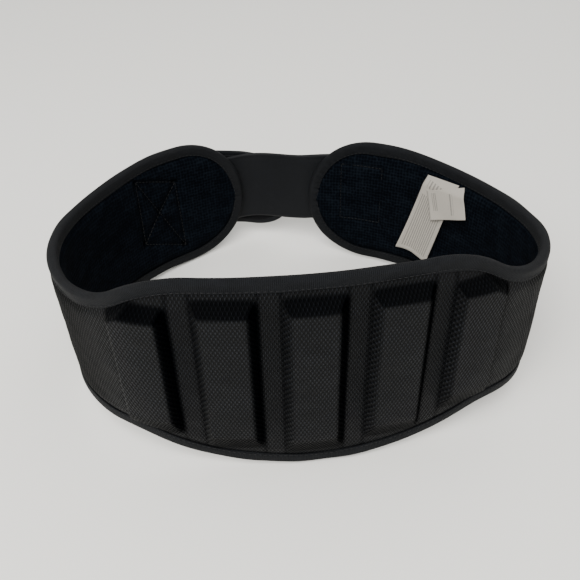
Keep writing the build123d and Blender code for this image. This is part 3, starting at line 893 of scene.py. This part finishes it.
def patch(name, place, u_range, v_range, inner, outer, material, slot_name, body, nodes, round_end=0.0):
    """Fuzzy patch between two offsets, with worn uneven edges."""
    u = np.linspace(*u_range, 110)
    v = np.linspace(*v_range, 60)
    U, V = np.meshgrid(u, v, indexing="ij")
    if round_end:
        half = (v_range[1] - v_range[0]) / 2
        mid = (v_range[1] + v_range[0]) / 2
        into = np.clip(U - (u_range[1] - round_end), 0, round_end)
        shrink = (half - round_end + np.sqrt(np.maximum(round_end**2 - into**2, 1e-9))) / half
        V = mid + (V - mid) * shrink
    rough = 0.00022 * ripple(U, V, 0.003, seed=13) + 0.00015 * ripple(U, V, 0.012, seed=14)
    uv = np.stack([U, V], -1)
    obj = slab(name, place(U, V, outer + rough), place(U, V, inner + 0 * U), uv)
    return finish_piece(obj, material, slot_name, body, *nodes)


def tail_place(along, across, out):
    """Point of the tail: along its middle line towards the tip, across it upwards."""
    c, s = math.cos(TAIL_CLIMB), math.sin(TAIL_CLIMB)
    x = TAIL_PIVOT[0] + along * c + across * s
    z = TAIL_PIVOT[1] - along * s + across * c
    return front(x, z, out)


def left_x(from_end, out):
    end = ARCS[-1][2]
    return -(WING_R + out) * math.sin(end - from_end / WING_R)


HINGE_X = left_x(TAIL_HINGE, STRAP_OUT)
KNEE_X = left_x(TAIL_HINGE - TAIL_KNEE, TAIL_IN)
SEWN_X = left_x(TAIL_HINGE + TAIL_SEWN, STRAP_OUT)


def along_tail(x):
    return (x - TAIL_PIVOT[0]) / math.cos(TAIL_CLIMB)


def tail():
    """Webbing tail: sewn to the left wing, over the knee and free to its rounded tip."""
    start, tip = along_tail(SEWN_X), along_tail(TAIL_TIP)
    hinge, knee_end = along_tail(HINGE_X), along_tail(KNEE_X)
    sewn_part = np.linspace(start, hinge - 0.004, 36)[:-1]
    bend_part = np.linspace(hinge - 0.004, knee_end + 0.004, 28)[:-1]
    free_part = np.linspace(knee_end + 0.004, tip - TAIL_TIP_R, 50)[:-1]
    round_part = tip - TAIL_TIP_R * (1 - np.sin(np.linspace(0, math.pi / 2, 30)))
    u = np.concatenate([sewn_part, bend_part, free_part, round_part])
    v = np.linspace(-1, 1, 48)
    U, V = np.meshgrid(u, v, indexing="ij")
    half = TAIL_WIDTH / 2
    into = np.clip(U - (tip - TAIL_TIP_R), 0, TAIL_TIP_R)
    reach = half - TAIL_TIP_R + np.sqrt(np.maximum(TAIL_TIP_R**2 - into**2, 0))
    across = V * reach
    low = (STRAP_IN + STRAP_OUT) / 2
    high = TAIL_IN + STRAP_T / 2
    knee = smooth((U - hinge) / (knee_end - hinge))
    middle = low + (high - low) * knee + 0.0003 * ripple(U, across, 0.05, seed=15) * knee
    border = np.minimum(reach - np.abs(across), np.minimum(U - start, tip - U + 0.0004))
    thick = STRAP_T * (0.4 + 0.6 * smooth(border / 0.0012))
    hem = -0.0002 * np.exp(-(((reach - np.abs(across) - 0.003) / 0.0006) ** 2))
    uv = np.stack([U, across], -1)
    face = tail_place(U, across, middle + thick / 2 + hem)
    back = tail_place(U, across, middle - thick / 2 - hem)
    obj = slab("tail_webbing", face, back, uv)
    finish_piece(obj, webbing_material("tail_webbing", 1.15), "webbing")
    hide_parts("strap_tail", "tail_anchor")
    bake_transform(obj)


def lining_place(side):
    """Place function of a wing's lining: distance from the wing's end, and height."""
    return lambda from_end, height, out: wall(side * (RUN_END[side] - from_end), height, out)


def box_corners(left, right, half):
    return ((left, half), (right, half), (right, -half), (left, -half))


def box_stitches(name, place, corners, out, cross, flip, node, thread):
    """A sewn box, crossed or plain; flip points its threads to the other side of the cloth."""
    rows = []
    for a, b in seam_lines(corners, cross):
        path = np.linspace(a, b, 12)
        rows.append(sewn_rows(place, path, out, BOX_STITCH, BOX_SHARE, flip))
    joined = [np.concatenate(parts) for parts in zip(*rows)]
    obj = stitch_mesh(name, *joined, THREAD_R, thread)
    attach(obj, "belt")
    if node:
        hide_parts(node)


def closure_stitches():
    """The boxes that hold the tail and the strap, on the lining and on the webbing."""
    inside = thread_material("inside_thread", 0.3)
    box = (lining_place(-1), TAIL_X_BOX, LINING_IN + 0.0013, True, 1.0, None, inside)
    box_stitches("tail_stitches_inside", *box)
    box = (lining_place(1), STRAP_X_BOX, LINING_IN + 0.0006, False, -1.0, None, inside)
    box_stitches("strap_stitches_inside", *box)
    length, height = 0.022, 0.048
    middle = (along_tail(SEWN_X) + along_tail(HINGE_X)) / 2 - 0.001
    corners = box_corners(middle - length / 2, middle + length / 2, height / 2)
    box = (tail_place, corners, STRAP_OUT, True, -1.0, "tail_stitching", THREAD)
    box_stitches("tail_stitches", *box)
    sewn_end = along_strap(STRAP_SEWN_END)
    corners = box_corners(sewn_end - 0.033, sewn_end - 0.003, 0.0225)
    box = (strap_place, corners, STRAP_OUT, False, -1.0, "strap_stitching", THREAD)
    box_stitches("strap_stitches", *box)


def loop_patch():
    ends = tuple(along_strap(x) for x in LOOP_PATCH)
    half = STRAP_WIDTH / 2 - 0.002
    pile = pile_material("loop_pile", 900.0, 0.0008)
    inner, outer = STRAP_OUT, STRAP_OUT + PATCH_T
    slot, body, nodes = "loop_pile", "belt", ["loop_patch"]
    patch("loop_pile", strap_place, ends, (-half, half), inner, outer, pile, slot, body, nodes)


def hook_patch():
    ends = (along_tail(KNEE_X) + 0.009, along_tail(TAIL_TIP) - 0.005)
    half = TAIL_WIDTH / 2 - 0.004
    hooks = pile_material("hook_tape", 1500.0, 0.0005)
    inner, outer = TAIL_IN - PATCH_T, TAIL_IN
    slot, body, nodes = "hook_tape", "tail", ["hook_patch"]
    patch("hook_tape", tail_place, ends, (-half, half), inner, outer, hooks, slot, body, nodes, 0.026)


# --- the labels ------------------------------------------------------------------------------
def seam_point(x, y, off):
    """Point of the label plane: x along the wall towards the wing's end, y up, off inward."""
    run = RUN_END[1] - LABEL_FROM_END
    place = lambda r, h: wall(np.array(r), np.array(h), np.array(LABEL_OUT))
    step = 0.001
    base = place(run, LABEL_SEAM)
    along = place(run + step, LABEL_SEAM) - base
    up = place(run, LABEL_SEAM + step) - base
    along, up = along / np.linalg.norm(along), up / np.linalg.norm(up)
    inward = np.cross(along, up)
    wing_y = CENTRE_Y[1] * math.cos(TIP) + SET_DOWN[1]
    inward = inward if inward[1] * (wing_y - base[1]) > 0 else -inward
    return base + x[..., None] * along + y[..., None] * up + off[..., None] * inward


def label(name, size, place, turn, level, curl, lift, bars, node):
    """Ribbon caught under the binding at its top, hanging with a slight curl."""
    width, length = size
    U, V = np.meshgrid(np.linspace(-width / 2, width / 2, 26), np.linspace(0, 1, 56), indexing="ij")
    c, s = math.cos(turn), math.sin(turn)
    upper = (LABEL_TUCK - U * s) / c if level else 0 * U
    down = upper + (-length - upper) * V
    x = place[0] + U * c - down * s
    y = place[1] + U * s + down * c
    hang = np.clip(-down / length, 0, None)
    side = U / width
    off = place[2] + lift * hang**1.5 + curl * np.clip(side, 0, 1) ** 2 * hang**2 * 4
    off = off + 0.0004 * np.sin(U / 0.0045 + 4 * hang) * hang
    off = off - LABEL_DIP * smooth((y + 0.005) / 0.009)
    face = seam_point(x, y, off + LABEL_T)
    back = seam_point(x, y, off)
    uv = np.stack([U + width / 2, length + down], -1)
    obj = slab(name, face, back, uv)
    finish_piece(obj, label_material(name, width, length, bars), "label_cloth", None, node)
    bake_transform(obj)


def labels():
    """Both labels. A block of bars is its left, right, low and high share, pitch and breaks."""
    care_bars = ((0.08, 0.94, 0.05, 0.78, 0.0019, 260.0), (0.20, 0.85, 0.88, 0.97, 0.0030, 400.0))
    size_bars = ((0.30, 0.42, 0.15, 0.85, 0.0024, 300.0), (0.76, 0.88, 0.3, 0.9, 0.0017, 300.0))
    place = (CARE_TOP, 0.0, 0.0)
    label("care_ribbon", CARE_LABEL, place, CARE_TURN, True, 0.006, 0.001, care_bars, "care_label")
    place = (SIZE_TOP, SIZE_DROP, SIZE_OVER + 0.0006)
    label("size_ribbon", SIZE_LABEL, place, SIZE_TURN, False, 0.0, 0.0022, size_bars, "size_label")


# --- scene -----------------------------------------------------------------------------------
def light(name, kind, energy, location, target, size, colour=(1, 1, 1)):
    lamp = bpy.data.lights.new(name, kind)
    lamp.energy = energy
    lamp.color = colour
    if kind == "AREA":
        lamp.shape = "DISK"
        lamp.size = size
    obj = bpy.data.objects.new(name, lamp)
    bpy.context.scene.collection.objects.link(obj)
    obj.location = location
    obj.rotation_euler = (Vector(target) - Vector(location)).to_track_quat("-Z", "Y").to_euler()


def stage():
    mesh = bpy.data.meshes.new("floor")
    half = 6.0
    corners = [(-half, -half, 0), (half, -half, 0), (half, half, 0), (-half, half, 0)]
    mesh.from_pydata(corners, [], [(0, 1, 2, 3)])
    floor = bpy.data.objects.new("floor", mesh)
    bpy.context.scene.collection.objects.link(floor)
    mesh.materials.append(floor_material())
    world = bpy.data.worlds.new("studio")
    bpy.context.scene.world = world
    world.use_nodes = True
    sky = world.node_tree.nodes["Background"]
    sky.inputs["Color"].default_value = (1.0, 0.985, 0.96, 1)
    sky.inputs["Strength"].default_value = 0.95
    light("key", "AREA", 44.0, (-0.45, -0.85, 1.35), (0, 0, 0.05), 1.3, (1.0, 0.985, 0.96))
    light("back", "AREA", 4.0, (0.8, 1.0, 1.2), (0, 0, 0.05), 1.0, (0.97, 0.99, 1.0))


def camera():
    data = bpy.data.cameras.new("camera")
    data.lens = CAMERA_LENS
    data.sensor_width = 36.0
    obj = bpy.data.objects.new("camera", data)
    bpy.context.scene.collection.objects.link(obj)
    flat = Vector((math.sin(CAMERA_TURN), math.cos(CAMERA_TURN), 0))
    look = flat * math.cos(CAMERA_PITCH) - Vector((0, 0, math.sin(CAMERA_PITCH)))
    right = Vector((math.cos(CAMERA_TURN), -math.sin(CAMERA_TURN), 0))
    up = right.cross(look)
    c, s = math.cos(CAMERA_ROLL), math.sin(CAMERA_ROLL)
    right, up = right * c - up * s, up * c + right * s
    matrix = Matrix((right, up, -look)).transposed().to_4x4()
    matrix.translation = CAMERA_AT
    obj.matrix_world = matrix
    bpy.context.scene.camera = obj


THREAD = thread_material()
camera()
stage()
shell()
lining()
SEAM = binding()
binding_stitches(SEAM)
strap()
loop_patch()
tail()
hook_patch()
closure_stitches()
labels()
